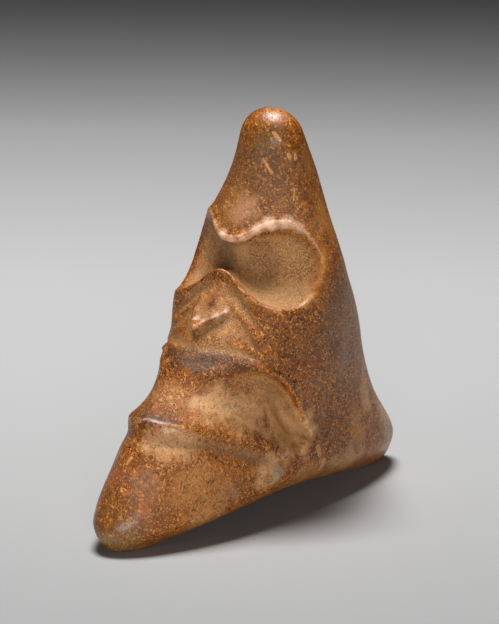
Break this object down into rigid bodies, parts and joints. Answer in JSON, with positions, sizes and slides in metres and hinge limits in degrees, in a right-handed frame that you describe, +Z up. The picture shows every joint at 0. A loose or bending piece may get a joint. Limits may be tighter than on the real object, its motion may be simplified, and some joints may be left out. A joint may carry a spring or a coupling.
{
  "type": "three-pointed stone",
  "caption": "Carved limestone with a blunt cone rising from a long base that is pointed at both ends, and a face with round sockets and a wide scooped mouth on its front slope.",
  "frame": {"origin": "middle of the footprint on the surface that the stone stands on, under the middle of its bounding box", "axes": "+Z up through the cone, the face looks to -Y, +Y towards the rear point, +X to the right when looking along +Y"},
  "size_m": [0.074, 0.2032, 0.1794],
  "materials": {
    "limestone": "satin polish on the raised carving, matt in the hollows, with small shell fragments and pits"
  },
  "bodies": {
    "root": {"three_pointed_stone": "limestone"}
  },
  "joints": []
}
